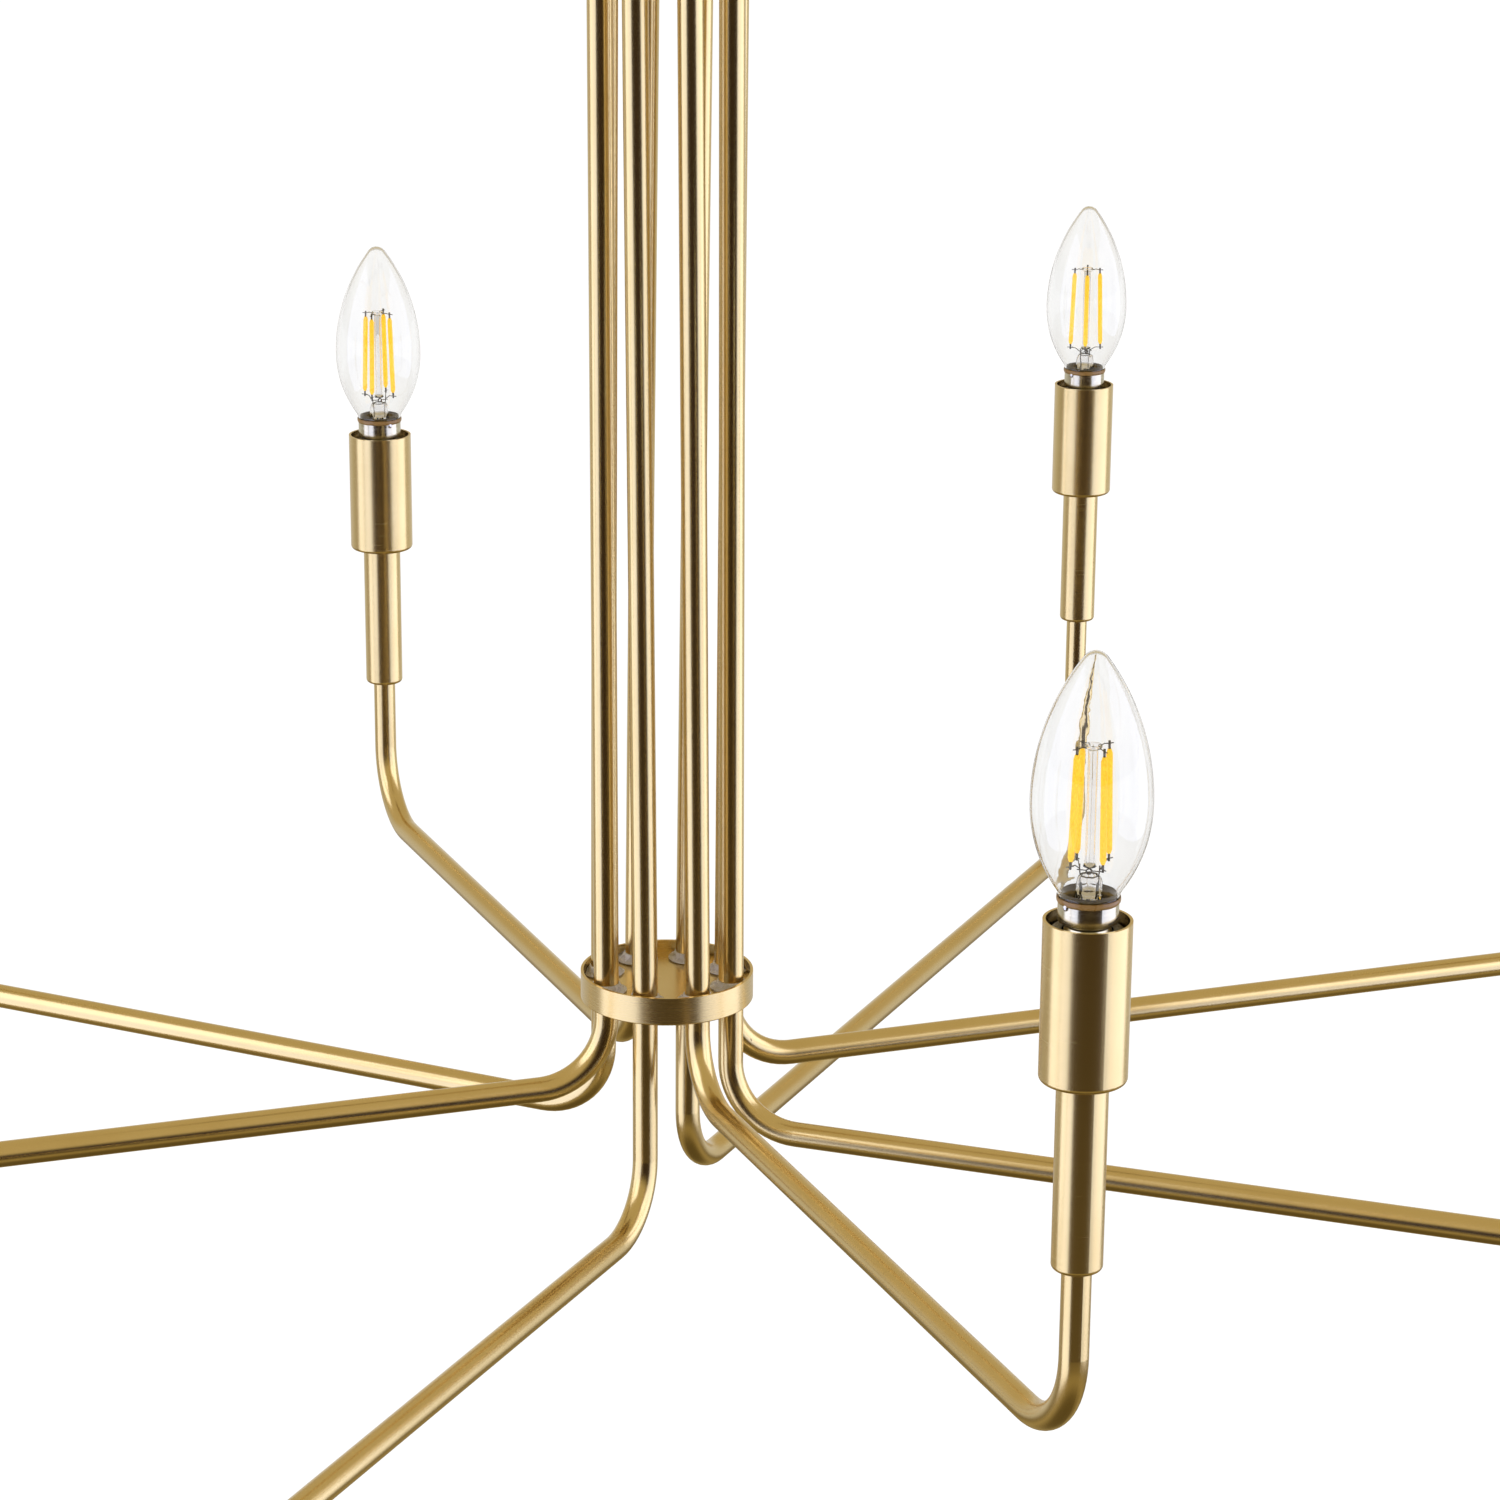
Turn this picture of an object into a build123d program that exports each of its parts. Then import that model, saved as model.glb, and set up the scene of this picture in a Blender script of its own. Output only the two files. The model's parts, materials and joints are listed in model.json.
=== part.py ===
from build123d import *
import math
import os

# Chandelier with eight bent tube arms.  Millimetres, +Z up.  The origin is the
# centre of the crossbar's upper face, on the ceiling, and the lamp hangs below it.
# Angles are measured about Z from -Y, positive towards +X.

# ---- arms -----------------------------------------------------------------
arm_spacing = 45.0        # between neighbouring arms
first_arm_angle = -22.5
low_run = 89.0            # depth of the level run under the hub rim
middle_run = 57.5
high_run = 39.3
long_reach = 420.0
middle_reach = 361.0
short_reach = 301.5
# name: (outward length from its own rod, depth of its level run,
#        angle by which the arm is set away from even spacing)
arms = {
    "a": (long_reach, low_run, -0.9),
    "b": (short_reach, high_run, 0.9),
    "c": (middle_reach, middle_run, 4.6),
    "d": (middle_reach, high_run, -1.6),
    "e": (long_reach, low_run, 0.0),
    "f": (short_reach, high_run, 1.1),
    "g": (middle_reach, middle_run, -1.6),
    "h": (middle_reach, high_run, -2.2),
}
tube_radius = 4.5
bore_radius = 3.5
inner_bend = 25.0         # bend under the hub, on the centreline
outer_bend = 30.0         # bend up to the candle
spigot_radius = 3.2       # threaded end that screws up into the rod
spigot_bore = 2.45
spigot_length = 8.0

# ---- hub, rods and canopy --------------------------------------------------
hub_rim_z = -670.0
hub_radius = 31.0
hub_height = 10.2
hub_wall = 1.0
hub_floor_below_rim = 4.4
hub_plate = 2.0           # thickness of the floor plate inside the rim
ring_radius = 24.2        # rods stand on this circle
rod_angle_at_hub = -16.2  # first rod, at the hub
rod_twist = -15.6         # the bundle turns by this much up to the canopy
hub_hole_radius = 3.7
washer_radius = 7.4
washer_top_radius = 5.2
washer_height = 3.1
washer_gap = 0.2          # to the hub's rim

canopy_radius = 65.0
canopy_height = 25.0
canopy_wall = 1.0
canopy_corner = 8.0
plate_radius = 33.0
plate_thickness = 3.0
nut_across_flats = 10.0
nut_height = 4.0
steel_washer_radius = 6.5
steel_washer_thickness = 1.0
rod_spigot_length = 10.5
rod_collar = 6.0          # solid end of each rod under the canopy

crossbar_length = 116.0
crossbar_width = 20.0
crossbar_thickness = 2.0
crossbar_hole_radius = 5.0
slot_spacing = 79.4
slot_length = 24.0
slot_radius = 2.3
stud_spacing = 104.0
stud_radius = 2.0
stud_end_z = -32.0
stud_nut_across_flats = 7.0
stud_nut_height = 3.2
ball_nut_radius = 5.0
ball_nut_neck = 4.0
thread_gap = 0.05
ground_screw_x = 15.0

# ---- candles ----------------------------------------------------------------
cup_rim_height = 126.3    # above the hub rim
cup_radius = 12.9
cup_wall = 0.9
cup_floor = 1.2
cup_length = 48.8
sleeve_radius = 7.65
sleeve_wall = 0.9
sleeve_floor = 1.5
sleeve_length = 58.7
round_edge = 1.5
tube_end_above_cup_floor = 8.0

holder_radius = 11.2
holder_base_radius = 8.5
holder_base_height = 9.0
holder_below_rim = 3.0
holder_bore_radius = 7.5
holder_bore_depth = 19.0  # below the holder's top
holder_chamfer = 0.8

lead_radius = 0.95
lead_offset = 1.05        # two leads side by side in each tube
lead_end_z = -6.0
lead_gap = 0.5            # between the rod's leads and the arm's

# ---- bulbs --------------------------------------------------------------------
bulb_tip = 79.2           # above the cup rim
bulb_radius = 17.5
bulb_widest = 44.5        # below the tip
glass_length = 72.6
nose_radius = 4.2
belly_radius = 44.0
neck_bend = 4.0
glass_neck_radius = 8.9
glass_wall = 0.8
cap_skirt_radius = 8.75
cap_thread_radius = 6.9
cap_thread_root = 6.35
cap_thread_pitch = 2.82
cap_turns = 5
cap_skirt_bottom = -0.6   # from the cup rim
cap_contact_radius = 2.4
cap_end = -18.8           # lowest point, from the cup rim

# ---- worked out ----------------------------------------------------------------
hub_under_z = hub_rim_z - hub_height
hub_floor_z = hub_rim_z - hub_floor_below_rim
hub_plate_under_z = hub_floor_z - hub_plate
canopy_floor_z = -canopy_height
cup_rim_z = hub_rim_z + cup_rim_height
cup_bottom_z = cup_rim_z - cup_length
sleeve_bottom_z = cup_bottom_z - sleeve_length
rod_bottom_z = hub_floor_z + washer_height
joint_gap = 0.1           # between the hub's plate and each arm


STANDING = (Align.CENTER, Align.CENTER, Align.MIN)


def direction(angle):
    """Unit vector outwards at an angle about Z."""
    turn = math.radians(angle)
    return Vector(math.sin(turn), -math.cos(turn), 0)


def rod_point(index, z):
    """Centre of a rod at height z."""
    angle = rod_angle_at_hub + arm_spacing * index
    share = (z - hub_floor_z) / (canopy_floor_z - hub_floor_z)
    low = direction(angle) * ring_radius
    high = direction(angle + rod_twist) * ring_radius
    spot = low + (high - low) * share
    return Vector(spot.X, spot.Y, z)


def upright(radius, low_z, high_z, inner=0.0, x=0.0, y=0.0):
    """A vertical cylinder or tube between two heights."""
    length = high_z - low_z
    place = Location((x, y, low_z))
    body = place * Cylinder(radius, length, align=STANDING)
    if inner:
        body -= place * Cylinder(inner, length, align=STANDING)
    return body


def hexagon(across_flats, low_z, height, hole, x=0.0, y=0.0):
    """A hexagonal nut with a plain hole and chamfered corners."""
    corner = across_flats / math.sqrt(3)
    outline = RegularPolygon(corner, 6)
    nut = Location((x, y, low_z)) * extrude(outline, height)
    blank = upright(corner, low_z, low_z + height, x=x, y=y)
    blank = chamfer(blank.edges().filter_by(GeomType.CIRCLE), 0.5)
    return (nut & blank) - upright(hole, low_z, low_z + height, x=x, y=y)


def leaning_bar(index, low_z, high_z, radius, offset=0.0):
    """A straight round bar along a rod's line, cut level at both ends."""
    low = rod_point(index, low_z - 5)
    along = rod_point(index, high_z + 5) - low
    side = direction(rod_angle_at_hub + arm_spacing * index) * offset
    bar = Plane(origin=low + side, z_dir=along) * extrude(Circle(radius), along.length)
    return bar & upright(2 * ring_radius, low_z, high_z)


def down_rod(index):
    """A rod with its threaded top end, which passes through the canopy."""
    top_z = canopy_floor_z + rod_spigot_length
    collar_z = canopy_floor_z - rod_collar
    top = rod_point(index, canopy_floor_z)
    rod = leaning_bar(index, rod_bottom_z, canopy_floor_z, tube_radius)
    rod += upright(spigot_radius, canopy_floor_z - 1.0, top_z, x=top.X, y=top.Y)
    rod -= leaning_bar(index, rod_bottom_z - 1.0, collar_z, bore_radius)
    return rod - leaning_bar(index, collar_z - 1.0, top_z + 1.0, spigot_bore)


def arm_path(reach, run_depth, top_z):
    """Centreline from inside the rod's end, out along the level run and up to the candle."""
    run_z = hub_rim_z - run_depth
    corners = [(0, 0, top_z), (0, 0, run_z), (reach, 0, run_z)]
    corners.append((reach, 0, cup_bottom_z + cup_floor + tube_end_above_cup_floor))
    return FilletPolyline(*corners, radius=[inner_bend, outer_bend])


def pipe(path, radius, side=0.0):
    """A round bar along a path in the XZ plane, starting straight down."""
    start = path @ 0 + Vector(0, side, 0)
    section = Plane(origin=start, z_dir=(0, 0, -1)) * Circle(radius)
    return sweep(section, path=Location((0, side, 0)) * path)


def arm_tube(reach, run_depth):
    """Bent tube with the threaded spigot brazed into its inner end."""
    top_z = hub_plate_under_z - joint_gap
    path = arm_path(reach, run_depth, top_z)
    tube = pipe(path, tube_radius) - pipe(path, bore_radius)
    plug = upright(bore_radius + 0.3, top_z - 3.0, top_z, spigot_bore)
    spigot = upright(spigot_radius, top_z - 3.0, rod_bottom_z + spigot_length, spigot_bore)
    return tube + plug + spigot


def candle_sleeve():
    """Narrow sleeve round the arm's upright end, closed round the tube at its foot."""
    sleeve = upright(sleeve_radius, sleeve_bottom_z, cup_bottom_z)
    sleeve = fillet(sleeve.edges().filter_by(GeomType.CIRCLE).sort_by(Axis.Z)[0], round_edge)
    sleeve -= upright(sleeve_radius - sleeve_wall, sleeve_bottom_z + sleeve_floor, cup_bottom_z)
    return sleeve - upright(tube_radius + thread_gap, sleeve_bottom_z, cup_bottom_z)


def socket_cup():
    """Open cup that hides the lampholder."""
    cup = upright(cup_radius, cup_bottom_z, cup_rim_z)
    cup = fillet(cup.edges().filter_by(GeomType.CIRCLE).sort_by(Axis.Z)[0], round_edge)
    cup -= upright(cup_radius - cup_wall, cup_bottom_z + cup_floor, cup_rim_z)
    return cup - upright(tube_radius + thread_gap, cup_bottom_z, cup_rim_z)


def lampholder():
    """Black lampholder that screws onto the tube's end and clamps the cup."""
    low_z = cup_bottom_z + cup_floor
    top_z = cup_rim_z - holder_below_rim
    step_z = low_z + holder_base_height
    body = upright(holder_radius, step_z, top_z)
    body = chamfer(body.edges().filter_by(GeomType.CIRCLE), holder_chamfer)
    body += upright(holder_base_radius, low_z, step_z + 1.0)
    body -= upright(holder_bore_radius, top_z - holder_bore_depth, top_z)
    body -= upright(tube_radius + thread_gap, low_z, low_z + tube_end_above_cup_floor + 0.2)
    return body


def arm_leads(reach, run_depth):
    """The lampholder's two leads, down the candle and along the arm to the rod."""
    top_z = rod_bottom_z + spigot_length
    path = arm_path(reach, run_depth, top_z)
    return [pipe(path, lead_radius, side) for side in (-lead_offset, lead_offset)]


def revolved_bulb(inset):
    """The bulb's outline, moved in by an inset and turned about its axis: an ogive with a round
    nose above the widest line, and below it an arc that turns back to an upright neck."""
    rise = bulb_widest - nose_radius
    ogive = (bulb_radius**2 + rise**2 - nose_radius**2) / (2 * (bulb_radius - nose_radius))
    lean = math.degrees(math.atan2(rise, ogive - bulb_radius))
    inward = bulb_radius - glass_neck_radius
    belly_turn = math.degrees(math.acos(1 - inward / (belly_radius + neck_bend)))
    waist = (bulb_radius - inset, cup_rim_z + bulb_tip - bulb_widest)
    neck_z = cup_rim_z + bulb_tip - glass_length
    side = JernArc(waist, (0, 1), ogive - inset, lean)
    nose = JernArc(side @ 1, side % 1, nose_radius - inset, 90 - lean)
    belly = JernArc(waist, (0, -1), belly_radius - inset, -belly_turn)
    throat = JernArc(belly @ 1, belly % 1, neck_bend + inset, belly_turn)
    neck = Line(throat @ 1, (glass_neck_radius - inset, neck_z))
    foot = Line(neck @ 1, (0, neck_z))
    axis = Line(foot @ 1, nose @ 1)
    half = make_face(Wire([side, nose, belly, throat, neck, foot, axis]))
    return revolve(Plane.XZ * half, Axis.Z)


def bulb_glass():
    """Clear torpedo envelope, open at the neck inside the cap."""
    return revolved_bulb(0.0) - revolved_bulb(glass_wall)


def bulb_cap():
    """Metal screw cap: skirt, five rolled thread turns, insulator cone and contact."""
    neck_z = cup_rim_z + bulb_tip - glass_length
    skirt_z = cup_rim_z + cap_skirt_bottom
    outline = [(0, neck_z), (cap_skirt_radius, neck_z), (cap_skirt_radius, skirt_z + 0.6)]
    outline.append((cap_thread_radius + 0.2, skirt_z - 0.4))
    for turn in range(cap_turns):
        crest_z = skirt_z - 1.2 - cap_thread_pitch * turn
        outline.append((cap_thread_root, crest_z))
        outline.append((cap_thread_radius, crest_z - 0.35 * cap_thread_pitch))
        outline.append((cap_thread_radius, crest_z - 0.65 * cap_thread_pitch))
    end_z = cup_rim_z + cap_end
    outline.append((cap_thread_root, end_z + 3.4))
    outline.append((cap_contact_radius + 0.8, end_z + 1.2))
    outline.append((cap_contact_radius, end_z + 1.2))
    outline.append((cap_contact_radius - 0.5, end_z))
    outline.append((0, end_z))
    points = [(radius, 0, z) for radius, z in outline]
    return revolve(make_face(Polyline(*points, close=True)), Axis.Z)


def hub_dish():
    """Ring with a raised floor plate that the rods and arms clamp between them."""
    dish = upright(hub_radius, hub_under_z, hub_rim_z)
    dish = fillet(dish.edges().filter_by(GeomType.CIRCLE).sort_by(Axis.Z)[0], 0.5)
    dish -= upright(hub_radius - hub_wall, hub_floor_z, hub_rim_z)
    dish -= upright(hub_radius - hub_wall, hub_under_z, hub_plate_under_z)
    for index in range(len(arms)):
        spot = rod_point(index, hub_floor_z)
        dish -= upright(hub_hole_radius, hub_plate_under_z, hub_floor_z, x=spot.X, y=spot.Y)
    return dish


def canopy():
    """Round ceiling cover, open at the top."""
    shell = upright(canopy_radius, canopy_floor_z, 0)
    shell = fillet(shell.edges().filter_by(GeomType.CIRCLE).sort_by(Axis.Z)[0], canopy_corner)
    hollow = upright(canopy_radius - canopy_wall, canopy_floor_z + canopy_wall, 0)
    inner_corner = canopy_corner - canopy_wall
    hollow = fillet(hollow.edges().filter_by(GeomType.CIRCLE).sort_by(Axis.Z)[0], inner_corner)
    shell -= hollow
    for side in (-1, 1):
        x = side * stud_spacing / 2
        shell -= upright(stud_radius + 0.3, canopy_floor_z, 0, x=x)
    return bored_for_rods(shell, canopy_floor_z, canopy_floor_z + canopy_wall)


def bored_for_rods(body, low_z, high_z):
    """Cut the eight holes for the rods' threaded ends."""
    for index in range(len(arms)):
        spot = rod_point(index, canopy_floor_z)
        body -= upright(spigot_radius + 0.3, low_z, high_z, x=spot.X, y=spot.Y)
    return body


def support_plate():
    """Steel disc inside the canopy that carries the rods."""
    low_z = canopy_floor_z + canopy_wall
    plate = upright(plate_radius, low_z, low_z + plate_thickness)
    plate = chamfer(plate.edges().filter_by(GeomType.CIRCLE).sort_by(Axis.Z)[-1], 0.5)
    return bored_for_rods(plate, low_z, low_z + plate_thickness)


def rod_fasteners():
    """A washer and a nut on each rod's threaded end."""
    low_z = canopy_floor_z + canopy_wall + plate_thickness
    nut_z = low_z + steel_washer_thickness
    hole = spigot_radius + thread_gap
    pieces = []
    for index in range(len(arms)):
        spot = rod_point(index, canopy_floor_z)
        pieces.append(upright(steel_washer_radius, low_z, nut_z, hole, spot.X, spot.Y))
        pieces.append(hexagon(nut_across_flats, nut_z, nut_height, hole, spot.X, spot.Y))
    return pieces


def rod_leads():
    """Two leads in each rod, from the arm's leads up into the canopy."""
    low_z = rod_bottom_z + spigot_length + lead_gap
    pieces = []
    for index in range(len(arms)):
        for side in (-lead_offset, lead_offset):
            pieces.append(leaning_bar(index, low_z, lead_end_z, lead_radius, side))
    return pieces


def hub_washers():
    """Clear plastic cup washer under each rod, cut off where it meets the hub's rim."""
    room = upright(hub_radius - hub_wall - washer_gap, hub_floor_z, rod_bottom_z)
    pieces = []
    for index in range(len(arms)):
        spot = rod_point(index, hub_floor_z)
        place = Location((spot.X, spot.Y, hub_floor_z))
        cone = place * Cone(washer_radius, washer_top_radius, washer_height, align=STANDING)
        cone -= upright(hub_hole_radius, hub_floor_z, rod_bottom_z, x=spot.X, y=spot.Y)
        pieces.append(cone & room)
    return pieces


def crossbar():
    """Flat steel bar that screws to the ceiling box."""
    bar = extrude(Rectangle(crossbar_length, crossbar_width), -crossbar_thickness)
    bar = fillet(bar.edges().filter_by(Axis.Z), 5.0)
    bar -= upright(crossbar_hole_radius, -crossbar_thickness, 0)
    for side in (-1, 1):
        slot = extrude(SlotOverall(slot_length, 2 * slot_radius), -crossbar_thickness)
        bar -= Location((side * slot_spacing / 2, 0, 0)) * slot
        bar -= upright(stud_radius + thread_gap, -crossbar_thickness, 0, x=side * stud_spacing / 2)
    return bar - upright(stud_radius + thread_gap, -crossbar_thickness, 0, x=ground_screw_x)


def canopy_studs():
    """Threaded studs that hang from the crossbar through the canopy."""
    pieces = []
    for side in (-1, 1):
        stud = upright(stud_radius, stud_end_z, -0.2, x=side * stud_spacing / 2)
        pieces.append(chamfer(stud.edges().filter_by(GeomType.CIRCLE), 0.4))
    return pieces


def stud_nuts():
    """Lock nut on each stud, under the crossbar."""
    low_z = -crossbar_thickness - stud_nut_height
    hole = stud_radius + thread_gap
    return [hexagon(stud_nut_across_flats, low_z, stud_nut_height, hole, x=side * stud_spacing / 2)
            for side in (-1, 1)]


def ball_nuts():
    """Ball nut on each stud, under the canopy."""
    centre_z = canopy_floor_z - ball_nut_radius - 1.2
    pieces = []
    for side in (-1, 1):
        x = side * stud_spacing / 2
        nut = Location((x, 0, centre_z)) * Sphere(ball_nut_radius)
        nut += upright(ball_nut_neck, centre_z, canopy_floor_z, x=x)
        pieces.append(nut - upright(stud_radius + thread_gap, stud_end_z - 0.5, canopy_floor_z, x=x))
    return pieces


def ground_screw():
    """Green earth screw in the crossbar, with its cross slot."""
    head_z = -crossbar_thickness - 2.4
    head = upright(4.0, head_z, -crossbar_thickness, x=ground_screw_x)
    head = fillet(head.edges().filter_by(GeomType.CIRCLE).sort_by(Axis.Z)[0], 1.0)
    shank = upright(stud_radius, -crossbar_thickness, -0.2, x=ground_screw_x)
    slot = Location((ground_screw_x, 0, head_z)) * Box(9.0, 1.0, 2.4)
    return head + shank - slot


def export(name, shape):
    """Write one node: a solid, or a group of separate solids."""
    if isinstance(shape, list):
        solids = [solid for item in shape for solid in item.solids()]
        shape = Compound(children=solids)
    shape.label = name
    export_step(shape, "parts/" + name + ".step")


def export_arm(index, name, spec):
    """Write the pieces of one arm, each in its place on the lamp."""
    reach, run_depth, offset = spec
    heading = first_arm_angle + arm_spacing * index + offset
    start = rod_point(index, hub_floor_z)
    turn = Location((start.X, start.Y, 0), (0, 0, heading - 90))
    candle = turn * Location((reach, 0, 0))
    export("arm_tube_" + name, turn * arm_tube(reach, run_depth))
    export("candle_sleeve_" + name, candle * candle_sleeve())
    export("socket_cup_" + name, candle * socket_cup())
    leads = [turn * lead for lead in arm_leads(reach, run_depth)]
    export("lampholder_" + name, [candle * lampholder()] + leads)
    export("bulb_cap_" + name, candle * bulb_cap())
    export("bulb_glass_" + name, candle * bulb_glass())


os.makedirs("parts", exist_ok=True)
for number, (arm_name, arm_spec) in enumerate(arms.items()):
    export_arm(number, arm_name, arm_spec)
export("down_rods", [down_rod(number) for number in range(len(arms))])
export("rod_leads", rod_leads())
export("rod_fasteners", rod_fasteners())
export("hub_dish", hub_dish())
export("hub_washers", hub_washers())
export("canopy", canopy())
export("support_plate", support_plate())
export("crossbar", crossbar())
export("canopy_studs", canopy_studs())
export("stud_nuts", stud_nuts())
export("ball_nuts", ball_nuts())
export("ground_screw", ground_screw())
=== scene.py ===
import json
import math

import bmesh
import bpy
from mathutils import Matrix, Vector, noise


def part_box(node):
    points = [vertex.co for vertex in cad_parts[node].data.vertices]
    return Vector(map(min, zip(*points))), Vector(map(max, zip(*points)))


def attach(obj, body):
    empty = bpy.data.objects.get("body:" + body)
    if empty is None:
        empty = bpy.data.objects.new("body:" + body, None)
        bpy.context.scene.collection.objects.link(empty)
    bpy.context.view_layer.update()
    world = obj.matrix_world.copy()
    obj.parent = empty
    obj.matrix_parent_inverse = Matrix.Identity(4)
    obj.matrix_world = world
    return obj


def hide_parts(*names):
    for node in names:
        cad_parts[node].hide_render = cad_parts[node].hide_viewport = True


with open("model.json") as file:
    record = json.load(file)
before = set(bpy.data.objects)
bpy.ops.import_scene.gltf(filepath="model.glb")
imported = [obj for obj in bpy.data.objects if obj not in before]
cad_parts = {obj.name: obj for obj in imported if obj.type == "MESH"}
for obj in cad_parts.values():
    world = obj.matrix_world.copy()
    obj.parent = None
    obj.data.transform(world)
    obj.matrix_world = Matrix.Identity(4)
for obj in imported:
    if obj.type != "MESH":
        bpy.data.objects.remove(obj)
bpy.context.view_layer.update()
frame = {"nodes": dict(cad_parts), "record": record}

MM = 0.001
ARMS = "abcdefgh"
# Turn of each bulb's filaments about its axis, and of the solder drop on its cap, in degrees.
BULB_TURN = {"a": 12, "b": -14, "c": 40, "d": -8, "e": 41.5, "f": 25, "g": 20, "h": -33}
SOLDER_TURN = {"a": 70, "b": -50, "c": 160, "d": -140, "e": -42.5, "f": 35, "g": 100, "h": 0}

# ---- bulb, in millimetres from its tip, down being negative ----------------
BULB_RADIUS = 17.5
BULB_WIDEST = 44.5
BULB_LENGTH = 72.6
NOSE_RADIUS = 4.2
BELLY_RADIUS = 44.0
NECK_BEND = 4.0
NECK_RADIUS = 8.9
GLASS_WALL = 0.7
FILAMENT_TOP = -29.6
FILAMENT_FOOT = -60.8
FILAMENT_RADIUS = 0.95
FILAMENT_RING_TOP = 5.5
FILAMENT_RING_FOOT = 6.5
FILAMENTS = 4
FILAMENT_STAGGER = 0.8
WIRE_RADIUS = 0.17
TAB_RADIUS = 0.36
STEM_TOP = -66.3
STEM_WAIST = -69.4
STEM_FOOT = -71.6
# Clear tube that stands on the stem.
ROD_RADIUS = 1.45
ROD_WALL = 0.4
ROD_FOOT = -63.2
ROD_TOP = -27.6
# Wire loop on the stem, cement disc, lacquered edge and solder drop.
LOOP_RADIUS = 0.75
CEMENT_LEVEL = -72.1
CEMENT_FOOT = -72.5
NECK_EDGE = -71.8
SOLDER_RADIUS = 0.95
SOLDER_REACH = 8.85
SOLDER_LEVEL = -74.0

# ---- lampholder and hub, in millimetres ------------------------------------
SHELL_BELOW_RIM = 8.0
SHELL_DEPTH = 11.0
SHELL_OUTER = 7.37
SHELL_INNER = 7.15
SHELL_WAVE = 0.1
SHELL_PITCH = 2.82
WASHER_REACH = 29.8

# ---- studio, in metres and degrees -----------------------------------------
FLOOR_LEVEL = -2.3
FLOOR_HALF = 60.0
PANEL_BOTTOM = -2.2
PANEL_RADIANCE = 1.65
PANEL_TINT = (0.80, 0.86, 1.26)
LENS_MM = 102.45
SENSOR_MM = 36.0
CAMERA_X = 0.0582
CAMERA_Y = -1.4410
CAMERA_ABOVE_HUB = 0.5302
CAMERA_YAW = -1.15
CAMERA_PITCH = 17.25
CAMERA_ROLL = 0.42


# ---- node helpers -----------------------------------------------------------
def new_material(name):
    """A new material; returns it with its tree and its Principled shader."""
    material = bpy.data.materials.new(name)
    material.use_nodes = True
    tree = material.node_tree
    return material, tree, tree.nodes["Principled BSDF"]


def coordinates(tree, scale):
    """Object coordinates, multiplied by a scale for each axis."""
    source = tree.nodes.new("ShaderNodeTexCoord")
    mapping = tree.nodes.new("ShaderNodeMapping")
    mapping.inputs["Scale"].default_value = scale
    tree.links.new(source.outputs["Object"], mapping.inputs["Vector"])
    return mapping.outputs["Vector"]


def noise_value(tree, scale, detail=3.0):
    """Noise over object coordinates; scale is one number or one for each axis, per metre."""
    if isinstance(scale, (int, float)):
        scale = (scale, scale, scale)
    node = tree.nodes.new("ShaderNodeTexNoise")
    node.inputs["Scale"].default_value = 1.0
    node.inputs["Detail"].default_value = detail
    node.inputs["Roughness"].default_value = 0.55
    tree.links.new(coordinates(tree, scale), node.inputs["Vector"])
    return node.outputs["Fac"]


def ramp(tree, value, stops):
    """Colour or grey ramp through a list of (position, colour)."""
    node = tree.nodes.new("ShaderNodeValToRGB")
    band = node.color_ramp
    while len(band.elements) < len(stops):
        band.elements.new(0.5)
    for element, (position, colour) in zip(band.elements, stops):
        if isinstance(colour, (int, float)):
            colour = (colour, colour, colour)
        element.position = position
        element.color = (*colour, 1.0)
    tree.links.new(value, node.inputs["Fac"])
    return node.outputs["Color"]


def mixed(tree, factor, first, second, mode="MIX"):
    """Mix of two colours; each may be a socket or a colour."""
    node = tree.nodes.new("ShaderNodeMix")
    node.data_type = "RGBA"
    node.blend_type = mode
    kinds = {"Factor": "VALUE", "A": "RGBA", "B": "RGBA"}
    for name, value in (("Factor", factor), ("A", first), ("B", second)):
        slot = next(s for s in node.inputs if s.name == name and s.type == kinds[name])
        if hasattr(value, "links"):
            tree.links.new(value, slot)
        elif name == "Factor":
            slot.default_value = value
        else:
            slot.default_value = (*value, 1.0)
    return next(s for s in node.outputs if s.type == "RGBA")


def bumped(tree, shader, height, strength, distance):
    """Bump on the shader from a height value, over a distance in metres."""
    node = tree.nodes.new("ShaderNodeBump")
    node.inputs["Strength"].default_value = strength
    node.inputs["Distance"].default_value = distance
    tree.links.new(height, node.inputs["Height"])
    tree.links.new(node.outputs["Normal"], shader.inputs["Normal"])


# ---- materials ----------------------------------------------------------------
def brass(name, tone, grain, grain_depth, rough_low, rough_high):
    """Lacquered satin brass: grain as fine noise or turned lines, faint tarnish and specks."""
    material, tree, shader = new_material(name)
    shader.inputs["Metallic"].default_value = 1.0
    shader.inputs["Coat Weight"].default_value = 0.25
    shader.inputs["Coat Roughness"].default_value = 0.22
    shader.inputs["Coat IOR"].default_value = 1.5
    cloud = noise_value(tree, 38.0, 4.0)
    tarnish = [c * k for c, k in zip(tone, (0.96, 0.945, 0.90))]
    base = ramp(tree, cloud, [(0.3, tarnish), (0.62, tone)])
    fine = noise_value(tree, grain, 2.0)
    streak = ramp(tree, fine, [(0.32, 0.97), (0.68, 1.0)])
    base = mixed(tree, 1.0, base, streak, "MULTIPLY")
    speck = ramp(tree, noise_value(tree, 420.0, 1.0), [(0.13, 0.35), (0.16, 1.0)])
    base = mixed(tree, 1.0, base, speck, "MULTIPLY")
    tree.links.new(base, shader.inputs["Base Color"])
    rough = ramp(tree, fine, [(0.25, rough_low), (0.75, rough_high)])
    tree.links.new(rough, shader.inputs["Roughness"])
    bumped(tree, shader, fine, 0.4, grain_depth)
    return material


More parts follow.
